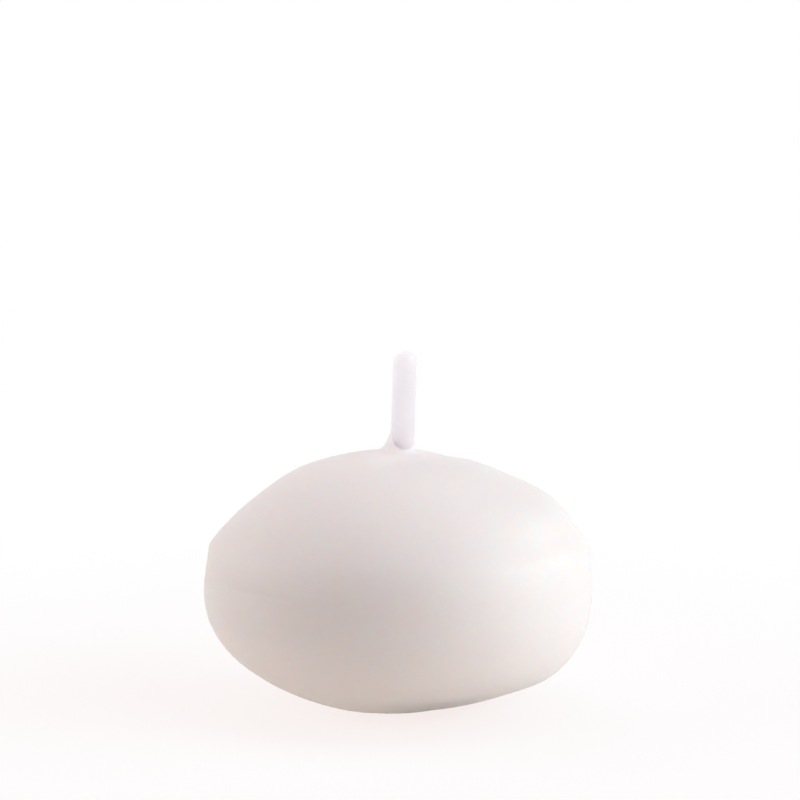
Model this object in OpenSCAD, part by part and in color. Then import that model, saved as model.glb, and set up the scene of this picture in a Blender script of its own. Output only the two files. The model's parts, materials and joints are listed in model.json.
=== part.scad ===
// Round floating candle.
// The wax body is pressed in one piece: a domed crown, a drafted band and a bowl underside
// with a small flat base. A primed cotton wick runs up its middle, and its dipped end leans
// out of the crown, where the wax climbs it in a hollow collar. A thin metal clip let into
// the base holds the wick's foot. The base stands on z = 0, and the bore rises along +Z.

/* [Wax body] */
// Widest diameter, where the bowl turns into the band
body_d = 38.1; // [36:0.1:42]
// Height of the widest line above the base
bowl_h = 11.4; // [10.6:0.1:13]
// Height of the drafted band above the widest line
band_h = 4.7; // [3.8:0.1:8]
// Rise of the domed crown above the band
crown_h = 9.3; // [7:0.1:13]
// Inward lean of the band, in degrees, that lets the pressed body leave its die
band_draft = 4; // [1:0.5:8]
// Radius of the edge between the band and the crown
shoulder_round = 2; // [0.6:0.1:3]
// Radius of the turn between the bowl and the band
waist_round = 9; // [6:0.1:9.6]
// Diameter of the flat that the candle stands on
base_d = 9.4; // [9.1:0.1:14]

/* [Wick] */
// Diameter of the wick inside the wax
wick_d = 2; // [1.4:0.1:2.2]
// Diameter of the wick's dipped end, which stands out of the crown
stub_d = 2.4; // [2.3:0.1:3.4]
// Height that the wick stands above the top of the crown
wick_out = 9.9; // [5:0.1:14]
// Lean of the dipped end, in degrees
wick_lean = 2.5; // [0.5:0.5:6]
// Depth below the top of the crown at which the dipped end starts and the wick leans
lean_depth = 4; // [2:0.1:6]
// Radius of the rounded edge of the wick's tip
tip_round = 0.75; // [0.2:0.05:1]

/* [Wax collar] */
// Radius of the hollow curve in which the wax climbs the wick
collar_r = 1.8; // [1:0.1:3]

/* [Wick clip] */
// Diameter of the clip's disc
clip_d = 8; // [6:0.1:8.3]
// Thickness of the clip's sheet metal
clip_t = 0.3; // [0.2:0.05:0.5]
// Height of the clip's neck, measured from the base
neck_h = 3; // [2:0.1:6]
// Inner radius of the bend between the disc and the neck
neck_bend = 0.5; // [0.2:0.05:0.8]

/* [Hidden] */
$fn = 120;

WAX = [0.96, 0.94, 0.92];
COTTON = [0.93, 0.91, 0.92];
TINPLATE = [0.72, 0.73, 0.74];

// Turn between one point and the next along an arc of an outline, in degrees
arc_step = 3;
// How far inside the wick the collar's curve would turn upright, so that it meets the
// wick at a clear angle
collar_bite = 0.15;

body_h = bowl_h + band_h + crown_h;
body_r = body_d / 2;
base_r = base_d / 2;
wick_r = wick_d / 2;
stub_r = stub_d / 2;
clip_r = clip_d / 2;
neck_r = wick_r + clip_t;

// Unit direction at an angle above the outward horizontal
function ray(angle) = [cos(angle), sin(angle)];
// Angle of the direction from one point to another
function slope(from, to) = atan2(to.y - from.y, to.x - from.x);
// Points along an arc, both ends included
function arc(centre, r, from, to) =
    let (steps = ceil(abs(to - from) / arc_step))
    [for (i = [0:steps]) centre + r * ray(from + (to - from) * i / steps)];

// The waist's arc stands upright at the widest line, and the band's line touches it
waist_c = [body_r - waist_round, bowl_h];
band_out = ray(band_draft);
band_up = ray(band_draft + 90);
band_reach = waist_c * band_out + waist_round;

// The bowl is part of a sphere on the axis. It passes through the base's edge and touches
// the waist's arc, which gives a quadratic for the height of its centre.
waist_k = waist_c * waist_c - base_r * base_r - waist_round * waist_round;
quad_a = bowl_h * bowl_h - waist_round * waist_round;
quad_b = bowl_h * waist_k;
quad_c = waist_k * waist_k / 4 - waist_round * waist_round * base_r * base_r;
bowl_c = [0, (quad_b + sqrt(quad_b * quad_b - 4 * quad_a * quad_c)) / (2 * quad_a)];
bowl_r = norm([base_r, 0] - bowl_c);

// The crown is part of a sphere on the axis, through its top and the band's upper edge
edge_r = body_r - band_h * tan(band_draft);
crown_r = (edge_r * edge_r + crown_h * crown_h) / (2 * crown_h);
crown_c = [0, body_h - crown_r];

// The shoulder's arc touches the band's line and the inside of the crown
shoulder_foot = band_out * (band_reach - shoulder_round) - crown_c;
shoulder_b = shoulder_foot * band_up;
shoulder_q = shoulder_foot * shoulder_foot - pow(crown_r - shoulder_round, 2);
shoulder_run = sqrt(shoulder_b * shoulder_b - shoulder_q) - shoulder_b;
shoulder_c = crown_c + shoulder_foot + shoulder_run * band_up;

// The dipped end starts on the axis at lean_z and is set over by crown_shift where it
// passes the crown's top
lean_z = body_h - lean_depth;
crown_shift = lean_depth * tan(wick_lean);
stub_len = (lean_depth + wick_out) / cos(wick_lean) - (stub_r - tip_round) * tan(wick_lean);

// The collar's curve turns about a point outside the crown and touches the crown
collar_x = stub_r - crown_shift - collar_bite + collar_r;
collar_c = [collar_x, crown_c.y + sqrt(pow(crown_r + collar_r, 2) - collar_x * collar_x)];

// Angles at which the outline goes over from one arc to the next
base_angle = -acos(base_r / bowl_r);
bowl_angle = slope(bowl_c, waist_c);
crown_angle = slope(crown_c, shoulder_c);
collar_angle = slope(crown_c, collar_c);

// Half section of the wax without its bore: flat base, bowl, waist, band, shoulder, crown
// and the hollow collar that climbs the wick
module body_outline() {
    polygon(concat(
        [[0, 0]],
        arc(bowl_c, bowl_r, base_angle, bowl_angle),
        arc(waist_c, waist_round, bowl_angle, 0),
        arc(waist_c, waist_round, 0, band_draft),
        arc(shoulder_c, shoulder_round, band_draft, crown_angle),
        arc(crown_c, crown_r, crown_angle, collar_angle),
        arc(collar_c, collar_r, collar_angle - 180, -180),
        [[0, collar_c.y]]
    ));
}

// Half section of the wick's dipped end, with its rounded tip
module stub_outline() {
    tip_c = [stub_r - tip_round, stub_len - tip_round];
    polygon(concat([[0, 0], [stub_r, 0]], arc(tip_c, tip_round, 0, 90), [[0, stub_len]]));
}

// The wick: upright in its bore, then the thicker dipped end that leans out of the crown.
// The same solid cuts its own way through the wax.
module wick_rod() {
    cylinder(r = wick_r, h = lean_z + stub_r);
    translate([0, 0, lean_z])
        rotate([0, wick_lean, 0])
            rotate_extrude()
                stub_outline();
}

// Half section of the space that the clip takes up: disc, bend and neck, closed to the axis
module clip_outline() {
    bend_c = [neck_r + neck_bend, clip_t + neck_bend];
    square([clip_r, clip_t]);
    square([neck_r, neck_h]);
    difference() {
        square(bend_c);
        translate(bend_c) circle(neck_bend);
    }
}

// Half section of the clip's sheet: the disc turns up into the neck with an even thickness
module clip_section() {
    outer_bend = neck_bend + clip_t;
    entry_c = [wick_r + outer_bend, outer_bend];
    difference() {
        clip_outline();
        square([wick_r, neck_h]);
        difference() {
            square(entry_c);
            translate(entry_c) circle(outer_bend);
        }
    }
}

module wax_body() {
    color(WAX)
        difference() {
            rotate_extrude() body_outline();
            rotate_extrude() clip_outline();
            wick_rod();
        }
}

module wick() {
    color(COTTON) wick_rod();
}

module wick_clip() {
    color(TINPLATE) rotate_extrude() clip_section();
}

wax_body();
wick();
wick_clip();
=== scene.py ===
"""Dresses the floating candle: pressed wax body, dipped wick and tinned wick clip.

Sizes are in millimetres in the part's own frame, +Z up from the flat base and +X to the right
as the camera sees it. They turn to metres where a mesh or a light is made.
"""

import json
import logging
import math
from dataclasses import dataclass
from enum import Enum

import bmesh
import bpy
import numpy as np
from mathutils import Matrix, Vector, noise

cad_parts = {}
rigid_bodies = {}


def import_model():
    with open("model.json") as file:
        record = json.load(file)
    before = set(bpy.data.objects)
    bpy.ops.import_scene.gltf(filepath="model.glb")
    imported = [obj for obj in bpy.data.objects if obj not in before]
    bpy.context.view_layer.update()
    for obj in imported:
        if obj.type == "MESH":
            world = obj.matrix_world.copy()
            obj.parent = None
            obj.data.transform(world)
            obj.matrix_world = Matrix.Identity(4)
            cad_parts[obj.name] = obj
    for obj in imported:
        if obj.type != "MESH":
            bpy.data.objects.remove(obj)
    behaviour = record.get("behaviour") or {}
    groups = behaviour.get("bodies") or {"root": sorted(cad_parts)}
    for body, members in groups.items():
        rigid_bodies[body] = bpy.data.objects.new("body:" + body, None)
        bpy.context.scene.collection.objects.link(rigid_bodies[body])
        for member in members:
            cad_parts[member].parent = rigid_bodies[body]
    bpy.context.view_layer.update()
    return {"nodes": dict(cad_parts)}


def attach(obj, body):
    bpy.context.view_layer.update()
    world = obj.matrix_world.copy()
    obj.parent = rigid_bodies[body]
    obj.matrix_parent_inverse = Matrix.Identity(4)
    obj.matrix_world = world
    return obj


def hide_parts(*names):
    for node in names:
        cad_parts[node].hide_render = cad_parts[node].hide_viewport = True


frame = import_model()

BODY = "root"
MM = 0.001
# Index of refraction of paraffin wax.
WAX_IOR = 1.43
# How fast Blender's wave texture turns, in radians for each unit of its scale.
WAVE_RATE = 20

log = logging.getLogger("floating_candle")


def linear(hex_colour: str) -> tuple[float, float, float, float]:
    """Turns an sRGB hex colour to linear light.

    Args:
        hex_colour: Six hex digits, with or without a leading hash.

    Returns:
        Linear red, green and blue, and an alpha of 1.
    """
    digits = hex_colour.lstrip("#")
    parts = [int(digits[i : i + 2], 16) / 255 for i in (0, 2, 4)]
    light = [p / 12.92 if p <= 0.04045 else ((p + 0.055) / 1.055) ** 2.4 for p in parts]
    return (light[0], light[1], light[2], 1.0)


def per_metre(size_mm: float) -> float:
    """Gives the texture scale at which one cell of a pattern is this many millimetres wide."""
    return 1 / (size_mm * MM)


def ease(x: np.ndarray | float) -> np.ndarray | float:
    """Rises smoothly from 0 to 1 as x goes from 0 to 1, and stays level outside that."""
    t = np.clip(x, 0.0, 1.0)
    return t * t * (3 - 2 * t)


def add_node(
    tree: bpy.types.NodeTree,
    kind: str,
    settings: dict[str | int, object] | None = None,
    links: dict[str | int, bpy.types.NodeSocket] | None = None,
) -> bpy.types.Node:
    """Adds one node to a tree, with its settings and links.

    Args:
        tree: The node tree that gets the node.
        kind: The node's type, such as "ShaderNodeBump".
        settings: Values by name. A name is a property of the node, or else an input.
        links: Output sockets by the name or the number of the input that each one feeds.

    Returns:
        The new node.
    """
    node = tree.nodes.new(kind)
    for name, value in (settings or {}).items():
        if isinstance(name, str) and hasattr(node, name):
            setattr(node, name, value)
        else:
            node.inputs[name].default_value = value
    for name, socket in (links or {}).items():
        tree.links.new(socket, node.inputs[name])
    return node


def blank_material(name: str) -> bpy.types.Material:
    """Makes a material with an empty node tree.

    Args:
        name: The material's name.

    Returns:
        The new material.
    """
    material = bpy.data.materials.new(name)
    material.use_nodes = True
    material.node_tree.nodes.clear()
    return material


def ease_by_distance(
    tree: bpy.types.NodeTree,
    place: bpy.types.NodeSocket,
    middle_mm: tuple[float, float, float],
    span_mm: tuple[float, float],
    levels: tuple[float, float],
) -> bpy.types.NodeSocket:
    """Builds a value that goes smoothly from one level to another away from a point.

    Args:
        tree: The node tree that needs it.
        place: The place on the object.
        middle_mm: The point.
        span_mm: Distances from the point between which the value changes.
        levels: The value near the point and far from it.

    Returns:
        The value's socket.
    """
    away = add_node(
        tree,
        "ShaderNodeVectorMath",
        {"operation": "DISTANCE", 1: [side * MM for side in middle_mm]},
        {0: place},
    )
    value = add_node(
        tree,
        "ShaderNodeMapRange",
        {
            "interpolation_type": "SMOOTHSTEP",
            "From Min": span_mm[0] * MM,
            "From Max": span_mm[1] * MM,
            "To Min": levels[0],
            "To Max": levels[1],
        },
        {"Value": away.outputs["Value"]},
    )
    return value.outputs["Result"]


def looked_at(tree: bpy.types.NodeTree) -> bpy.types.NodeSocket:
    """Tells the rays that look at the surroundings from those that carry light from them.

    Args:
        tree: The node tree that needs it.

    Returns:
        A socket that is 1 for the camera's rays and for those in mirrors and glass, and else 0.
    """
    rays = add_node(tree, "ShaderNodeLightPath").outputs
    mirrored = add_node(
        tree,
        "ShaderNodeMath",
        {"operation": "MAXIMUM"},
        {0: rays["Is Glossy Ray"], 1: rays["Is Transmission Ray"]},
    )
    either = add_node(
        tree,
        "ShaderNodeMath",
        {"operation": "MAXIMUM"},
        {0: rays["Is Camera Ray"], 1: mirrored.outputs["Value"]},
    )
    return either.outputs["Value"]


def add_mesh(
    name: str, points: np.ndarray, faces: list[tuple[int, ...]], crease: float
) -> bpy.types.Object:
    """Makes a smooth closed mesh object at the origin from points in millimetres.

    Args:
        name: The object's name.
        points: One row of x, y and z for each point.
        faces: The points of each face.
        crease: Angle in degrees above which an edge stays sharp.

    Returns:
        The new object, linked to the scene.
    """
    mesh = bpy.data.meshes.new(name)
    mesh.from_pydata((points * MM).tolist(), [], faces)
    tidy = bmesh.new()
    tidy.from_mesh(mesh)
    bmesh.ops.recalc_face_normals(tidy, faces=tidy.faces)
    tidy.to_mesh(mesh)
    tidy.free()
    mesh.polygons.foreach_set("use_smooth", [True] * len(mesh.polygons))
    mesh.set_sharp_from_angle(angle=math.radians(crease))
    thing = bpy.data.objects.new(name, mesh)
    bpy.context.scene.collection.objects.link(thing)
    return thing


def ring_faces(spokes: int, rings: int) -> list[tuple[int, ...]]:
    """Joins rings of points into a closed skin, with a face across each end.

    Args:
        spokes: Number of points in each ring.
        rings: Number of rings. The points are stored ring by ring.

    Returns:
        The faces.
    """
    faces = []
    for ring in range(rings - 1):
        here, there = ring * spokes, (ring + 1) * spokes
        for spoke in range(spokes):
            after = (spoke + 1) % spokes
            faces.append((here + spoke, here + after, there + after, there + spoke))
    faces.append(tuple(range(spokes)))
    faces.append(tuple(range((rings - 1) * spokes, rings * spokes)))
    return faces


@dataclass(frozen=True)
class PressedParaffin:
    """Paraffin wax pressed in a smooth die: satin, a little cloudy, and soft in the light.

    Light enters the wax and comes out millimetres away, so its shade is soft and warm. The
    surface keeps a faint cloudiness, the low relief of the pressed beads, and a fine grain.
    Round the wick its colour is painted lighter, to lift the shade there.

    Attributes:
        clear: Colour where the wax is dense.
        cloudy: Colour where it holds more air.
        drawn: Lighter colour of the wax drawn up round the wick: painted light that lifts the
            shade which the wick and the collar's hollow throw there.
        drawn_at: Where the wick leaves the wax.
        drawn_mm: Distances from that point between which the drawn wax, with its painted lighter
            colour and its longer scatter, gives way.
        roughness: Lowest and highest roughness of the satin surface.
        cloud_range: Weakest and strongest cloudiness, between which the roughness changes.
        scatter_mm: How far red, green and blue light travel in the wax.
        drawn_scatter_mm: How far red light travels in the drawn wax, which holds no air.
        cloud_mm: Size of the cloudy patches.
        bead_mm: Size of the wax beads that the body was pressed from.
        bead_relief_mm: Height that the pressing left on them.
        grain_mm: Size of the fine grain, drawn coarser than the real tenth of a millimetre
            so that it shows.
        grain_relief_mm: Height of the grain.
    """

    clear: str = "#F2EBEB"
    cloudy: str = "#F5EFEF"
    drawn: str = "#FFF3F7"
    drawn_at: tuple[float, float, float] = (0.5, 0.0, 26.2)
    drawn_mm: tuple[float, float] = (1.6, 6.0)
    roughness: tuple[float, float] = (0.46, 0.54)
    cloud_range: tuple[float, float] = (0.3, 0.7)
    scatter_mm: tuple[float, float, float] = (3.2, 2.4, 1.9)
    drawn_scatter_mm: float = 10.0
    cloud_mm: float = 7.0
    bead_mm: float = 1.1
    bead_relief_mm: float = 0.006
    grain_mm: float = 0.28
    grain_relief_mm: float = 0.004

    def material(self) -> bpy.types.Material:
        """Builds the wax's node material.

        Returns:
            The material.
        """
        material = blank_material("pressed_paraffin_wax")
        tree = material.node_tree
        place = add_node(tree, "ShaderNodeTexCoord").outputs["Object"]
        cloud = add_node(
            tree,
            "ShaderNodeTexNoise",
            {"Scale": per_metre(self.cloud_mm), "Detail": 3.0, "Roughness": 0.55},
            {"Vector": place},
        )
        tint = add_node(
            tree,
            "ShaderNodeMix",
            {"data_type": "RGBA", 6: linear(self.clear), 7: linear(self.cloudy)},
            {0: cloud.outputs["Fac"]},
        )
        # Painted light: the colour turns lighter round the wick, to lift the shade there.
        outside_painted_light = ease_by_distance(tree, place, self.drawn_at, self.drawn_mm, (0.0, 1.0))
        colour = add_node(
            tree,
            "ShaderNodeMix",
            {"data_type": "RGBA", 6: linear(self.drawn)},
            {0: outside_painted_light, 7: tint.outputs[2]},
        )
        satin = add_node(
            tree,
            "ShaderNodeMapRange",
            {
                "From Min": self.cloud_range[0],
                "From Max": self.cloud_range[1],
                "To Min": self.roughness[0],
                "To Max": self.roughness[1],
            },
            {"Value": cloud.outputs["Fac"]},
        )
        beads = add_node(
            tree,
            "ShaderNodeTexVoronoi",
            {"feature": "SMOOTH_F1", "Scale": per_metre(self.bead_mm), "Smoothness": 1.0},
            {"Vector": place},
        )
        grain = add_node(
            tree,
            "ShaderNodeTexNoise",
            {"Scale": per_metre(self.grain_mm), "Detail": 2.0},
            {"Vector": place},
        )
        bead_relief = add_node(
            tree,
            "ShaderNodeBump",
            {"Strength": 0.25, "Distance": self.bead_relief_mm * MM},
            {"Height": beads.outputs["Distance"]},
        )
        relief = add_node(
            tree,
            "ShaderNodeBump",
            {"Strength": 0.3, "Distance": self.grain_relief_mm * MM},
            {"Height": grain.outputs["Fac"], "Normal": bead_relief.outputs["Normal"]},
        )
        longest = max(self.scatter_mm)
        levels = (self.drawn_scatter_mm * MM, longest * MM)
        reach = ease_by_distance(tree, place, self.drawn_at, self.drawn_mm, levels)
        shader = add_node(
            tree,
            "ShaderNodeBsdfPrincipled",
            {
                "IOR": WAX_IOR,
                "Subsurface Weight": 1.0,
                "Subsurface Radius": [travel / longest for travel in self.scatter_mm],
            },
            {
                "Base Color": colour.outputs[2],
                "Subsurface Scale": reach,
                "Roughness": satin.outputs["Result"],
                "Normal": relief.outputs["Normal"],
            },
        )
        add_node(tree, "ShaderNodeOutputMaterial", links={"Surface": shader.outputs["BSDF"]})
        return material


@dataclass(frozen=True)
class DippedCotton:
    """Cotton braid dipped in clear hard wax: cool white, smooth and shinier than the body.

    The coat fills the braid, so its strands show only as long faint streaks under a gloss
    that catches small bright highlights at the tip. Light passes right through the thin
    wick and comes out all round, so its shaded side is nearly as bright as its lit side.

    Attributes:
        strand: Colour over the strands.
        hollow: Colour between the strands.
        thin: Tint of the light that comes through.
        through: Share of the light that comes through.
        scatter_mm: How far light travels in the coated cotton.
        scatter_tint: How far red, green and blue light travel as shares of that.
        fibre_mm: Width and length of a streak of fibres.
        relief_mm: Height of the streaks.
        roughness: Roughness of the coated cotton.
        gloss: Roughness of the wax coat.
    """

    strand: str = "#DDD9DC"
    hollow: str = "#D5D1D4"
    thin: str = "#FBF9FB"
    through: float = 0.66
    scatter_mm: float = 1.4
    scatter_tint: tuple[float, float, float] = (1.0, 0.95, 1.0)
    fibre_mm: tuple[float, float] = (0.16, 3.0)
    relief_mm: float = 0.012
    roughness: float = 0.34
    gloss: float = 0.14

    def material(self) -> bpy.types.Material:
        """Builds the wick's node material.

        Returns:
            The material.
        """
        material = blank_material("wax_dipped_cotton_braid")
        tree = material.node_tree
        place = add_node(tree, "ShaderNodeTexCoord").outputs["Object"]
        width, length = self.fibre_mm
        stretched = add_node(
            tree,
            "ShaderNodeMapping",
            {"Scale": (per_metre(width), per_metre(width), per_metre(length))},
            {"Vector": place},
        )
        fibres = add_node(
            tree,
            "ShaderNodeTexNoise",
            {"Scale": 1.0, "Detail": 2.0},
            {"Vector": stretched.outputs["Vector"]},
        )
        cotton = add_node(
            tree,
            "ShaderNodeMix",
            {"data_type": "RGBA", 6: linear(self.hollow), 7: linear(self.strand)},
            {0: fibres.outputs["Fac"]},
        )
        relief = add_node(
            tree,
            "ShaderNodeBump",
            {"Strength": 0.35, "Distance": self.relief_mm * MM},
            {"Height": fibres.outputs["Fac"]},
        )
        coated = add_node(
            tree,
            "ShaderNodeBsdfPrincipled",
            {
                "IOR": WAX_IOR,
                "Roughness": self.roughness,
                "Subsurface Weight": 1.0,
                "Subsurface Radius": self.scatter_tint,
                "Subsurface Scale": self.scatter_mm * MM,
                "Coat Weight": 1.0,
                "Coat Roughness": self.gloss,
                "Coat IOR": WAX_IOR,
            },
            {"Base Color": cotton.outputs[2], "Normal": relief.outputs["Normal"]},
        )
        glowing = add_node(tree, "ShaderNodeBsdfTranslucent", {"Color": linear(self.thin)})
        shader = add_node(
            tree,
            "ShaderNodeMixShader",
            {0: self.through},
            {1: coated.outputs["BSDF"], 2: glowing.outputs["BSDF"]},
        )
        add_node(tree, "ShaderNodeOutputMaterial", links={"Surface": shader.outputs["Shader"]})
        return material


@dataclass(frozen=True)
class TinnedSteel:
    """Tin-plated sheet steel, stamped and drawn: dull bright metal with fine drawing rings.

    Attributes:
        tin: Colour of the plating.
        worn: Colour where the die rubbed it.
        ring_mm: Spacing of the rings that the stamping die left, drawn coarse enough to show.
        relief_mm: Height of the rings.
        spangle_mm: Size of the cloudy patches in the tin.
        roughness: Lowest and highest roughness of the tin.
    """

    tin: str = "#CDCFD1"
    worn: str = "#B9BBBD"
    ring_mm: float = 0.35
    relief_mm: float = 0.01
    spangle_mm: float = 0.8
    roughness: tuple[float, float] = (0.28, 0.45)

    def material(self) -> bpy.types.Material:
        """Builds the clip's node material.

        Returns:
            The material.
        """
        material = blank_material("stamped_tinned_steel")
        tree = material.node_tree
        place = add_node(tree, "ShaderNodeTexCoord").outputs["Object"]
        rings = add_node(
            tree,
            "ShaderNodeTexWave",
            {
                "wave_type": "RINGS",
                "rings_direction": "Z",
                "Scale": per_metre(self.ring_mm) * math.tau / WAVE_RATE,
                "Distortion": 1.5,
                "Detail": 2.0,
            },
            {"Vector": place},
        )
        spangle = add_node(
            tree,
            "ShaderNodeTexNoise",
            {"Scale": per_metre(self.spangle_mm), "Detail": 4.0},
            {"Vector": place},
        )
        tint = add_node(
            tree,
            "ShaderNodeMix",
            {"data_type": "RGBA", 6: linear(self.worn), 7: linear(self.tin)},
            {0: spangle.outputs["Fac"]},
        )
        satin = add_node(
            tree,
            "ShaderNodeMapRange",
            {"To Min": self.roughness[0], "To Max": self.roughness[1]},
            {"Value": spangle.outputs["Fac"]},
        )
        relief = add_node(
            tree,
            "ShaderNodeBump",
            {"Strength": 0.3, "Distance": self.relief_mm * MM},
            {"Height": rings.outputs["Fac"]},
        )
        shader = add_node(
            tree,
            "ShaderNodeBsdfPrincipled",
            {"Metallic": 1.0},
            {
                "Base Color": tint.outputs[2],
                "Roughness": satin.outputs["Result"],
                "Normal": relief.outputs["Normal"],
            },
        )
        add_node(tree, "ShaderNodeOutputMaterial", links={"Surface": shader.outputs["BSDF"]})
        return material


@dataclass(frozen=True)
class PaperSweep:
    """Matt white background paper, shown near white with the object's soft shadow kept.

    The paper glows a little for the rays that light the object, and more in a patch at the
    candle's foot: painted light with no lamp behind it, which lifts the shade on the object's
    underside.

    Attributes:
        paper: Colour that the paper throws back on the object.
        through: Colour of that painted glow.
        underglow_share: Strength of the glow away from the candle.
        foot_glow_share: How much more it glows in a patch at the candle's foot, a painted pool
            of light that lifts the shade on the underside there.
        foot_glow_at: Middle of that brighter patch.
        foot_glow_fade_mm: Distances from its middle between which it dies away.
        veil: What the lit paper adds for the camera round the candle. It holds more blue
            than red, so that the shadows come out warm.
        glow: What the camera sees there even in the deepest shadow.
        fade_mm: Distances from the candle between which the paper turns plain white.
        fibre_mm: Size of the paper's fibres, drawn coarser than the real ones so that they show.
        relief_mm: Height of the fibres.
    """

    paper: str = "#F0E8E2"
    through: str = "#FFF7E3"
    underglow_share: float = 0.059
    foot_glow_share: float = 0.12
    foot_glow_at: tuple[float, float, float] = (-7.0, -6.0, 0.0)
    foot_glow_fade_mm: tuple[float, float] = (3.0, 12.0)
    veil: str = "#698189"
    glow: str = "#EFE4E1"
    fade_mm: tuple[float, float] = (25.0, 95.0)
    fibre_mm: float = 0.6
    relief_mm: float = 0.01

    def material(self) -> bpy.types.Material:
        """Builds the paper's node material.

        Returns:
            The material.
        """
        material = blank_material("matt_background_paper")
        tree = material.node_tree
        place = add_node(tree, "ShaderNodeTexCoord").outputs["Object"]
        fibres = add_node(
            tree,
            "ShaderNodeTexNoise",
            {"Scale": per_metre(self.fibre_mm), "Detail": 3.0},
            {"Vector": place},
        )
        relief = add_node(
            tree,
            "ShaderNodeBump",
            {"Strength": 0.1, "Distance": self.relief_mm * MM},
            {"Height": fibres.outputs["Fac"]},
        )
        lit = add_node(
            tree,
            "ShaderNodeBsdfDiffuse",
            {"Color": linear(self.paper)},
            {"Normal": relief.outputs["Normal"]},
        )
        # Painted light: the paper glows for the rays that light the object, most at the candle's
        # foot, to lift the shade on its underside.
        levels = (self.underglow_share + self.foot_glow_share, self.underglow_share)
        share = ease_by_distance(tree, place, self.foot_glow_at, self.foot_glow_fade_mm, levels)
        floor_glow = add_node(
            tree,
            "ShaderNodeEmission",
            {"Color": linear(self.through)},
            {"Strength": share},
        )
        thrown = add_node(
            tree,
            "ShaderNodeAddShader",
            links={0: lit.outputs["BSDF"], 1: floor_glow.outputs["Emission"]},
        )
        veil = add_node(
            tree,
            "ShaderNodeBsdfDiffuse",
            {"Color": linear(self.veil)},
            {"Normal": relief.outputs["Normal"]},
        )
        glow = add_node(tree, "ShaderNodeEmission", {"Color": linear(self.glow)})
        near = add_node(
            tree,
            "ShaderNodeAddShader",
            links={0: veil.outputs["BSDF"], 1: glow.outputs["Emission"]},
        )
        white = add_node(tree, "ShaderNodeEmission")
        fade = ease_by_distance(tree, place, (0.0, 0.0, 0.0), self.fade_mm, (0.0, 1.0))
        seen = add_node(
            tree,
            "ShaderNodeMixShader",
            links={0: fade, 1: near.outputs["Shader"], 2: white.outputs["Emission"]},
        )
        shader = add_node(
            tree,
            "ShaderNodeMixShader",
            links={0: looked_at(tree), 1: thrown.outputs["Shader"], 2: seen.outputs["Shader"]},
        )
        add_node(tree, "ShaderNodeOutputMaterial", links={"Surface": shader.outputs["Shader"]})
        return material


class Edge(Enum):
    """How a mark on the wax ends: the power of the falloff from its middle."""

    FADING = 2
    CRISP = 6


@dataclass(frozen=True)
class Mark:
    """A swelling or a dent that the die, cooling or handling left on the wax.

    Attributes:
        turn: Direction from the axis in degrees, 0 to the right and 270 to the camera.
        height: Height of its middle above the base.
        spread: Half its width round the body, in degrees.
        reach: Half its height.
        rise: How far it stands out of the surface, or in where it is negative.
        edge: How it ends.
    """

    turn: float
    height: float
    spread: float
    reach: float
    rise: float
    edge: Edge = Edge.FADING

    def lift(self, turns: np.ndarray, heights: np.ndarray) -> np.ndarray:
        """Works out the mark's rise over the surface.

        Args:
            turns: Direction of each spoke in degrees.
            heights: Height of each point, one row for each spoke.

        Returns:
            The rise at each point.
        """
        aside = (turns - self.turn + 180) % 360 - 180
        across = np.abs(aside / self.spread)[:, None] ** self.edge.value
        along = np.abs((heights - self.height) / self.reach) ** self.edge.value
        return self.rise * np.exp(-0.5 * (across + along))


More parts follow.
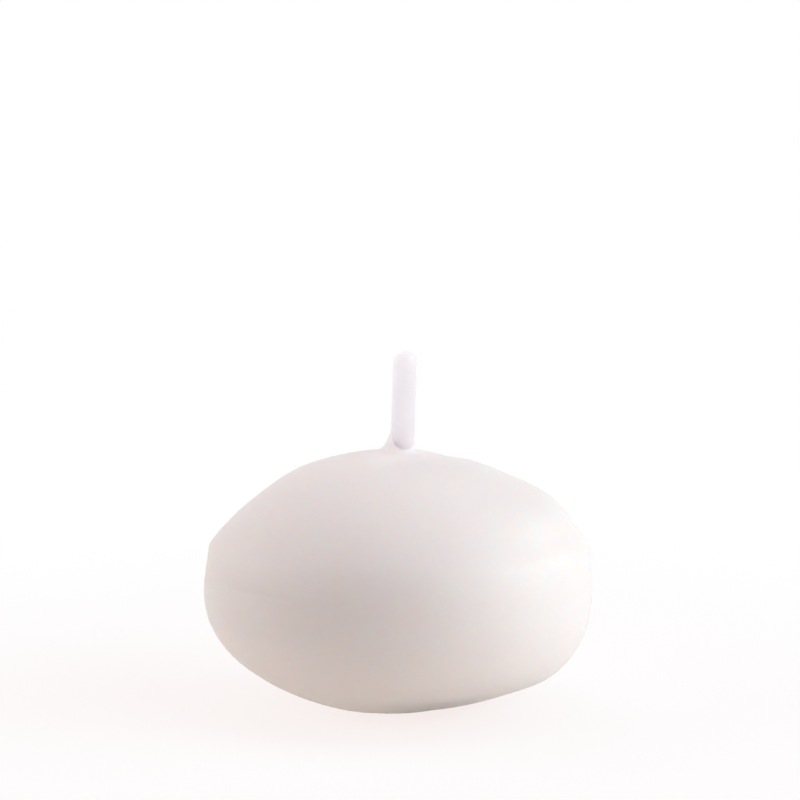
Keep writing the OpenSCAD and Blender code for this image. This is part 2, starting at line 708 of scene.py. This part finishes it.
@dataclass(frozen=True)
class HalfSection:
    """Half section of the pressed body: arcs that touch, from the base up to the crown.

    Attributes:
        base_r: Radius of the flat base.
        bowl_r: Radius of the bowl's sphere, centred on the axis.
        waist_round: Radius of the turn from the bowl to the band.
        draft: Inward lean of the band in degrees.
        crown_r: Radius of the crown's sphere, centred on the axis.
        shoulder_round: Radius of the edge between the band and the crown.
    """

    base_r: float
    bowl_r: float
    waist_round: float
    draft: float
    crown_r: float
    shoulder_round: float

    BOWL_STEPS = 36
    WAIST_STEPS = 36
    BAND_STEPS = 14
    SHOULDER_STEPS = 16
    CROWN_STEPS = 72

    def trace(self, body_r: float, height: float, crown_end_r: float) -> np.ndarray:
        """Draws the section.

        Args:
            body_r: Largest radius of the body.
            height: Height of the crown's top.
            crown_end_r: Radius at which the crown gives way to the collar.

        Returns:
            One row of radius and height for each point. Every section has the same number.
        """
        lean = math.radians(self.draft)
        outward = np.array([math.cos(lean), math.sin(lean)])
        upward = np.array([-math.sin(lean), math.cos(lean)])
        bowl_c = np.array([0.0, math.sqrt(self.bowl_r**2 - self.base_r**2)])
        crown_c = np.array([0.0, height - self.crown_r])
        waist_x = body_r - self.waist_round
        waist_drop = math.sqrt((self.bowl_r - self.waist_round) ** 2 - waist_x**2)
        waist_c = np.array([waist_x, bowl_c[1] - waist_drop])
        band_reach = waist_c @ outward + self.waist_round
        foot = outward * (band_reach - self.shoulder_round) - crown_c
        slip = foot @ upward
        run = math.sqrt(slip**2 - foot @ foot + (self.crown_r - self.shoulder_round) ** 2) - slip
        shoulder_c = crown_c + foot + run * upward

        base_angle = -math.acos(self.base_r / self.bowl_r)
        bowl_angle = math.atan2(-waist_drop, waist_x)
        crown_angle = math.atan2(shoulder_c[1] - crown_c[1], shoulder_c[0])
        end_angle = math.acos(crown_end_r / self.crown_r)
        band_foot = waist_c + self.waist_round * outward
        band_top = shoulder_c + self.shoulder_round * outward
        up_the_band = np.linspace(0, 1, self.BAND_STEPS + 1)[1:-1, None]
        return np.vstack(
            [
                self.arc(bowl_c, self.bowl_r, base_angle, bowl_angle, self.BOWL_STEPS),
                self.arc(waist_c, self.waist_round, bowl_angle, lean, self.WAIST_STEPS)[1:],
                band_foot + (band_top - band_foot) * up_the_band,
                self.arc(shoulder_c, self.shoulder_round, lean, crown_angle, self.SHOULDER_STEPS),
                self.arc(crown_c, self.crown_r, crown_angle, end_angle, self.CROWN_STEPS)[1:],
            ]
        )

    @staticmethod
    def arc(centre: np.ndarray, radius: float, start: float, end: float, steps: int) -> np.ndarray:
        """Gives the points along an arc, both ends included, with angles in radians."""
        angles = np.linspace(start, end, steps + 1)
        return centre + radius * np.stack([np.cos(angles), np.sin(angles)], axis=-1)


@dataclass(frozen=True)
class Wick:
    """The primed cotton wick, upright in its bore, with a thicker dipped end that leans.

    Attributes:
        core_r: Radius inside the wax.
        stub_r: Radius of the dipped end.
        stub_z: Height at which the dipped end starts, inside the wax.
        bend_z: Height at which the wick starts to lean.
        lean: Lean of the dipped end in degrees.
        top_z: Height of the tip.
        tip_round: Radius of the tip's rounded edge.
        strands: Number of strands that cross each way in the braid.
        pitch: Height of one turn of a strand.
        relief: Height of the strands that still shows through the coat.
        relief_fade: Lengths over which the strands come up at the foot and die away at the tip.
        groove_z: Height of the shallow groove where the dip ended.
        groove: Direction in degrees, half its width in degrees, half its height and its depth.
        spokes: Number of points round the wick.
        shaft_rings: Number of rings up the dipped end.
        tip_rings: Number of rings over the tip's rounded edge.
    """

    core_r: float = 1.0
    stub_r: float = 1.17
    stub_z: float = 21.4
    bend_z: float = 10.8
    lean: float = 1.9
    top_z: float = 35.3
    tip_round: float = 0.78
    strands: int = 4
    pitch: float = 5.2
    relief: float = 0.012
    relief_fade: tuple[float, float] = (2.0, 1.5)
    groove_z: float = 26.75
    groove: tuple[float, float, float, float] = (300.0, 40.0, 0.1, 0.045)
    spokes: int = 96
    shaft_rings: int = 200
    tip_rings: int = 12

    def axis_x(self, z: float | np.ndarray) -> float | np.ndarray:
        """Gives how far the wick's axis stands to the right of the bore's at a height."""
        return np.maximum(z - self.bend_z, 0.0) * math.tan(math.radians(self.lean))

    def rings(self) -> list[tuple[float, float]]:
        """Lists the rings that the wick is made of, from the foot to the tip.

        Returns:
            The radius and height of each ring.
        """
        corner = self.top_z - self.tip_round
        rings = [(self.core_r, 0.0), (self.core_r, self.bend_z), (self.core_r, self.stub_z)]
        rings += [(self.stub_r, z) for z in np.linspace(self.stub_z, corner, self.shaft_rings)]
        for angle in np.radians(np.linspace(0, 90, self.tip_rings + 1)[1:]):
            inset = self.tip_round * (1 - math.cos(angle))
            rings.append((self.stub_r - inset, corner + self.tip_round * math.sin(angle)))
        rings.append((0.5 * (self.stub_r - self.tip_round), self.top_z))
        return rings

    def braid(self, turns: np.ndarray, z: float) -> np.ndarray:
        """Works out how far the braid stands out round one ring.

        Args:
            turns: Direction of each point in radians.
            z: Height of the ring.

        Returns:
            The rise at each point.
        """
        climb = math.tau * z / self.pitch
        one_way = np.sin(self.strands * (turns + climb))
        other_way = np.sin(self.strands * (turns - climb))
        return self.relief * np.maximum(one_way, other_way)

    def dip_line(self, turns: np.ndarray, z: float) -> np.ndarray:
        """Works out how far the groove goes in round one ring.

        Args:
            turns: Direction of each point in radians.
            z: Height of the ring.

        Returns:
            The depth at each point.
        """
        middle, spread, reach, depth = self.groove
        aside = (np.degrees(turns) - middle + 180) % 360 - 180
        return depth * np.exp(-0.5 * ((aside / spread) ** 2 + ((z - self.groove_z) / reach) ** 2))

    def build(self) -> bpy.types.Object:
        """Builds the wick, puts it in the CAD wick's place and dresses it.

        Returns:
            The wick.
        """
        turns = np.linspace(0, math.tau, self.spokes, endpoint=False)
        foot_fade, tip_fade = self.relief_fade
        rows = []
        rings = self.rings()
        for radius, z in rings:
            shown = ease((z - self.stub_z) / foot_fade) * ease((self.top_z - z) / tip_fade)
            r = radius + self.braid(turns, z) * shown - self.dip_line(turns, z)
            x = self.axis_x(z) + r * np.cos(turns)
            rows.append(np.stack([x, r * np.sin(turns), np.full_like(r, z)], axis=-1))
        points = np.vstack(rows)
        wick = add_mesh("dipped_wick", points, ring_faces(self.spokes, len(rings)), crease=50)
        wick.data.materials.append(DippedCotton().material())
        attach(wick, BODY)
        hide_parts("wick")
        log.info("dipped_wick: %d points", len(points))
        return wick


@dataclass(frozen=True)
class Tongue:
    """A stretch round the wick where the wax collar climbs higher.

    Attributes:
        turn: Direction of its middle in degrees.
        spread: Half its width in degrees.
        climb: Height that it adds.
        flare: Width that it adds to the collar's foot.
    """

    turn: float
    spread: float
    climb: float
    flare: float

    def share(self, turns: np.ndarray) -> np.ndarray:
        """Gives the tongue's strength from 0 to 1 in each direction, in degrees."""
        aside = (turns - self.turn + 180) % 360 - 180
        return np.exp(-0.5 * (aside / self.spread) ** 2)


@dataclass(frozen=True)
class Collar:
    """The hollow collar in which wax was drawn up the wick as it cooled.

    Attributes:
        start_r: Radius at which the collar starts to leave the crown.
        climb: Height that the wax climbs all round.
        flare: Distance over which the climb dies away by a factor of e.
        tongues: Where it climbs higher.
        lead_in: Share of the rings over which the climb sets in.
        steps: Number of rings from the start to the wick.
    """

    start_r: float = 3.4
    climb: float = 0.5
    flare: float = 0.2
    tongues: tuple[Tongue, ...] = (
        Tongue(turn=180, spread=30, climb=1.9, flare=0.2),
        Tongue(turn=10, spread=30, climb=0.4, flare=0.0),
        Tongue(turn=95, spread=40, climb=0.5, flare=0.1),
    )
    lead_in: float = 0.25
    steps: int = 30

    def rings(
        self,
        turns: np.ndarray,
        wick: Wick,
        inner_r: float,
        crown_z: np.ndarray,
        crown_r: np.ndarray,
    ) -> list[np.ndarray]:
        """Draws the collar's rings, from the crown in to the wick.

        Args:
            turns: Direction of each spoke in degrees.
            wick: The wick that the collar climbs.
            inner_r: Radius at which the collar ends, a little inside the wick.
            crown_z: Height of the centre of the crown's sphere for each spoke.
            crown_r: Radius of the crown's sphere for each spoke.

        Returns:
            The rings, each with one row of x, y and z for each spoke.
        """
        climb = self.climb + sum(t.climb * t.share(turns) for t in self.tongues)
        flare = self.flare + sum(t.flare * t.share(turns) for t in self.tongues)
        angle = np.radians(turns)
        rings = []
        for step in range(1, self.steps + 1):
            part = step / self.steps
            r = inner_r + (self.start_r - inner_r) * (1 - part) ** 2
            z = crown_z + np.sqrt(crown_r**2 - r**2)
            z = z + climb * np.exp(-(r - inner_r) / flare) * ease(part / self.lead_in)
            aside = wick.axis_x(z) * (self.start_r - r) / (self.start_r - inner_r)
            rings.append(np.stack([aside + r * np.cos(angle), r * np.sin(angle), z], axis=-1))
        return rings


@dataclass(frozen=True)
class WaxBody:
    """The pressed wax body, with the die's crisp edge on the left and a fuller right side.

    Attributes:
        body_r: Largest radius.
        height: Height of the crown's top.
        crisp: Half section on the left, where the shoulder is sharp.
        full: Half section on the right, where the bowl is fuller.
        soft: Half section at the front and the back, where the shoulder is all but gone.
        collar: The collar round the wick.
        seat_r: Radius of the clip's seat in the base.
        seat_depth: Depth of that seat.
        neck_r: Radius of the hole for the clip's neck.
        neck_h: Height of that hole.
        bite: How far the collar's edge reaches into the wick, so that no gap shows.
        calm: Height above the base over which the unevenness sets in, and distance outside
            the collar over which it and the marks do.
        waves: Size and height of each layer of unevenness.
        marks: Swellings and dents.
        spokes: Number of points round the body.
    """

    body_r: float = 19.05
    height: float = 25.4
    crisp: HalfSection = HalfSection(
        base_r=5.2, bowl_r=25.5, waist_round=8.6, draft=7.5, crown_r=23.1, shoulder_round=1.0
    )
    full: HalfSection = HalfSection(
        base_r=4.4, bowl_r=32.4, waist_round=8.9, draft=0.0, crown_r=22.4, shoulder_round=5.6
    )
    soft: HalfSection = HalfSection(
        base_r=4.4, bowl_r=28.9, waist_round=8.8, draft=3.0, crown_r=22.8, shoulder_round=8.0
    )
    collar: Collar = Collar()
    seat_r: float = 4.0
    seat_depth: float = 0.3
    neck_r: float = 1.3
    neck_h: float = 3.0
    bite: float = 0.02
    calm: tuple[float, float] = (1.2, 2.0)
    waves: tuple[tuple[float, float], ...] = ((14.0, 0.05), (4.0, 0.015))
    marks: tuple[Mark, ...] = (
        Mark(turn=290, height=1.77, spread=28, reach=1.14, rise=-0.69),
        Mark(turn=358, height=18.5, spread=40, reach=3.0, rise=1.0),
        Mark(turn=358, height=22.5, spread=40, reach=0.9, rise=-0.18),
        Mark(turn=358, height=17.6, spread=40, reach=0.8, rise=-0.35),
        Mark(turn=358, height=14.5, spread=40, reach=1.5, rise=-0.17),
        Mark(turn=46, height=24.7, spread=26, reach=0.5, rise=-0.35),
        Mark(turn=340, height=10.5, spread=34, reach=1.6, rise=0.1),
        Mark(turn=325, height=7.0, spread=26, reach=2.2, rise=0.12),
        Mark(turn=34, height=5.5, spread=40, reach=3.0, rise=0.2),
        Mark(turn=332, height=4.6, spread=12, reach=0.9, rise=0.12),
        Mark(turn=150, height=22.9, spread=26, reach=1.0, rise=0.25),
        Mark(turn=190, height=6.0, spread=30, reach=1.6, rise=-0.08),
        Mark(turn=233, height=13.8, spread=26, reach=0.22, rise=-0.05),
        Mark(turn=222, height=16.3, spread=2.2, reach=0.35, rise=0.06, edge=Edge.CRISP),
        Mark(turn=202, height=16.6, spread=2.0, reach=0.3, rise=-0.08, edge=Edge.CRISP),
        Mark(turn=245, height=7.2, spread=2.6, reach=0.5, rise=-0.06),
    )
    spokes: int = 360

    def skin(self, wick: Wick) -> list[np.ndarray]:
        """Draws the outer rings, from the base's edge to the wick.

        Args:
            wick: The wick that the collar climbs.

        Returns:
            The rings, each with one row of x, y and z for each spoke.
        """
        turns = np.arange(self.spokes) * 360 / self.spokes
        angle = np.radians(turns)
        toward = np.cos(angle)
        shares = (
            (self.crisp, np.maximum(-toward, 0.0) ** 2),
            (self.full, np.maximum(toward, 0.0) ** 2),
            (self.soft, 1 - toward**2),
        )
        section = sum(
            half.trace(self.body_r, self.height, self.collar.start_r) * share[:, None, None]
            for half, share in shares
        )
        radius, z = section[..., 0], section[..., 1]
        along = np.gradient(section, axis=1)
        along /= np.linalg.norm(along, axis=-1, keepdims=True)
        waves = sum(height * self.unevenness(angle, radius, z, size) for size, height in self.waves)
        rise = sum(mark.lift(turns, z) for mark in self.marks) + waves * ease(z / self.calm[0])
        rise = rise * ease((radius - self.collar.start_r) / self.calm[1])
        radius = radius + rise * along[..., 1]
        z = np.maximum(z - rise * along[..., 0], 0.0)
        rings = [
            np.stack([radius[:, i] * np.cos(angle), radius[:, i] * np.sin(angle), z[:, i]], axis=-1)
            for i in range(section.shape[1])
        ]
        crown_r = sum(half.crown_r * share for half, share in shares)
        inner_r = wick.stub_r - self.bite
        return rings + self.collar.rings(turns, wick, inner_r, self.height - crown_r, crown_r)

    @staticmethod
    def unevenness(angle: np.ndarray, radius: np.ndarray, z: np.ndarray, size: float) -> np.ndarray:
        """Works out a smooth random unevenness from -1 to 1 over the surface.

        Args:
            angle: Direction of each spoke in radians.
            radius: Radius of each point, one row for each spoke.
            z: Height of each point.
            size: Size of one swelling.

        Returns:
            The unevenness at each point.
        """
        x = radius * np.cos(angle)[:, None] / size
        y = radius * np.sin(angle)[:, None] / size
        flat = [noise.noise(Vector(p)) for p in zip(x.ravel(), y.ravel(), (z / size).ravel())]
        return np.array(flat).reshape(radius.shape)

    def seat(self) -> list[np.ndarray]:
        """Draws the clip's seat, from the top of the neck's hole down to the base.

        Returns:
            The rings, each with one row of x, y and z for each spoke.
        """
        angle = np.arange(self.spokes) * math.tau / self.spokes
        steps = [
            (0.5 * self.neck_r, self.neck_h),
            (self.neck_r, self.neck_h),
            (self.neck_r, self.seat_depth),
            (self.seat_r, self.seat_depth),
            (self.seat_r, 0.0),
        ]
        return [
            np.stack([r * np.cos(angle), r * np.sin(angle), np.full_like(angle, z)], axis=-1)
            for r, z in steps
        ]

    def build(self, wick: Wick) -> bpy.types.Object:
        """Builds the wax body, puts it in the CAD body's place and dresses it.

        Args:
            wick: The wick that stands in it.

        Returns:
            The wax body.
        """
        rings = self.seat() + self.skin(wick)
        points = np.vstack(rings)
        body = add_mesh("pressed_wax_body", points, ring_faces(self.spokes, len(rings)), crease=50)
        body.data.materials.append(PressedParaffin().material())
        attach(body, BODY)
        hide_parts("wax_body")
        log.info("pressed_wax_body: %d points", len(points))
        return body


@dataclass(frozen=True)
class WickClip:
    """The stamped clip, whose CAD solid is shown as it is, with a metal finish.

    Attributes:
        node: The clip's node in the frame.
    """

    node: str = "wick_clip"

    def dress(self) -> None:
        """Gives the CAD clip its material."""
        clip = frame["nodes"][self.node]
        clip.data.materials.clear()
        clip.data.materials.append(TinnedSteel().material())
        log.info("%s: dressed", self.node)


@dataclass(frozen=True)
class Softbox:
    """One soft studio lamp, turned to the middle of the candle.

    Attributes:
        name: The lamp's name.
        turn: Direction in degrees, 0 to the right and 270 to the camera.
        climb: Angle above the floor in degrees.
        watts: Power.
        glass: Colour of its light.
        distance: Distance from the candle.
        size: Width of its square window.
    """

    name: str
    turn: float
    climb: float
    watts: float
    glass: str
    distance: float = 500.0
    size: float = 500.0

    def build(self, target: Vector) -> bpy.types.Object:
        """Builds the lamp.

        Args:
            target: The point it faces, in millimetres.

        Returns:
            The lamp.
        """
        turn, climb = math.radians(self.turn), math.radians(self.climb)
        flat = math.cos(climb)
        way = Vector((flat * math.cos(turn), flat * math.sin(turn), math.sin(climb)))
        lamp = bpy.data.lights.new(self.name, "AREA")
        lamp.shape = "SQUARE"
        lamp.size = self.size * MM
        lamp.energy = self.watts
        lamp.color = linear(self.glass)[:3]
        thing = bpy.data.objects.new(self.name, lamp)
        thing.location = (target + way * self.distance) * MM
        thing.rotation_euler = (-way).to_track_quat("-Z", "Y").to_euler()
        bpy.context.scene.collection.objects.link(thing)
        return thing


@dataclass(frozen=True)
class Studio:
    """The paper sweep, the lamps and the camera.

    Attributes:
        floor_depth: How far the flat paper runs in front of and behind the candle.
        floor_width: Half the paper's width.
        sweep_r: Radius of the turn up to the backdrop.
        sweep_steps: Number of flats in that turn.
        wall_height: Height of the backdrop above the turn.
        middle: The point that the lamps face.
        lamps: The lamps.
        aim: The point that the middle of the picture falls on.
        pitch: Angle by which the camera looks down, in degrees.
        distance: Distance from the camera to that point.
        view_width: Width of the picture at that point.
    """

    floor_depth: float = 900.0
    floor_width: float = 1500.0
    sweep_r: float = 300.0
    sweep_steps: int = 24
    wall_height: float = 900.0
    middle: tuple[float, float, float] = (0.0, 0.0, 12.7)
    lamps: tuple[Softbox, ...] = (
        Softbox("key_right_high", turn=0, climb=40, watts=0.86, glass="#F2FEFF"),
        Softbox("key_right_low", turn=0, climb=10, watts=0.93, glass="#F2FEFF"),
        Softbox("key_right_front", turn=330, climb=12, watts=1.55, glass="#F6FCFF"),
        Softbox("fill_left_low", turn=180, climb=12, watts=1.43, glass="#FFFFFD"),
        Softbox("fill_left_high", turn=180, climb=40, watts=0.15, glass="#FFEDED"),
        Softbox("rim_back", turn=120, climb=40, watts=0.62, glass="#FAFFFB"),
        Softbox("top", turn=90, climb=85, watts=1.03, glass="#FFEDED"),
    )
    aim: tuple[float, float, float] = (0.28, 0.0, 30.54)
    pitch: float = 9.25
    distance: float = 450.0
    view_width: float = 78.4

    def build_sweep(self) -> bpy.types.Object:
        """Builds the paper: flat floor, quarter turn and upright backdrop.

        Returns:
            The paper.
        """
        line = [(-self.floor_depth, 0.0), (self.floor_depth, 0.0)]
        for angle in np.radians(np.linspace(0, 90, self.sweep_steps + 1)[1:]):
            out = self.floor_depth + self.sweep_r * math.sin(angle)
            line.append((out, self.sweep_r * (1 - math.cos(angle))))
        line.append((line[-1][0], self.sweep_r + self.wall_height))
        points = [(side * self.floor_width, y, z) for y, z in line for side in (-1, 1)]
        faces = [(2 * i, 2 * i + 1, 2 * i + 3, 2 * i + 2) for i in range(len(line) - 1)]
        mesh = bpy.data.meshes.new("paper_sweep")
        mesh.from_pydata((np.array(points) * MM).tolist(), [], faces)
        mesh.polygons.foreach_set("use_smooth", [True] * len(mesh.polygons))
        mesh.materials.append(PaperSweep().material())
        sweep = bpy.data.objects.new("paper_sweep", mesh)
        bpy.context.scene.collection.objects.link(sweep)
        return sweep

    def build_air(self) -> None:
        """Builds the surroundings, which light nothing and look white."""
        world = bpy.data.worlds.new("studio_air")
        world.use_nodes = True
        world.node_tree.nodes.clear()
        tree = world.node_tree
        air = add_node(tree, "ShaderNodeBackground", links={"Strength": looked_at(tree)})
        add_node(tree, "ShaderNodeOutputWorld", links={"Surface": air.outputs["Background"]})
        bpy.context.scene.world = world

    def build_camera(self) -> bpy.types.Object:
        """Builds the camera at the height and the angle that the candle is seen from.

        Returns:
            The camera.
        """
        pitch = math.radians(self.pitch)
        back = Vector((0.0, -math.cos(pitch), math.sin(pitch)))
        lens = bpy.data.cameras.new("product_camera")
        lens.lens = lens.sensor_width * self.distance / self.view_width
        camera = bpy.data.objects.new("product_camera", lens)
        camera.location = (Vector(self.aim) + back * self.distance) * MM
        camera.rotation_euler = (math.radians(90 - self.pitch), 0.0, 0.0)
        bpy.context.scene.collection.objects.link(camera)
        bpy.context.scene.camera = camera
        return camera

    def build(self) -> None:
        """Builds everything round the candle."""
        self.build_camera()
        self.build_sweep()
        self.build_air()
        for lamp in self.lamps:
            lamp.build(Vector(self.middle))
        bpy.context.scene.view_settings.view_transform = "Standard"
        log.info("studio: %d lamps", len(self.lamps))


def main() -> None:
    """Builds the studio and dresses the candle, piece by piece."""
    logging.basicConfig(level=logging.INFO, format="%(name)s %(message)s")
    Studio().build()
    wick = Wick()
    WaxBody().build(wick)
    wick.build()
    WickClip().dress()


if __name__ == "__main__":
    main()
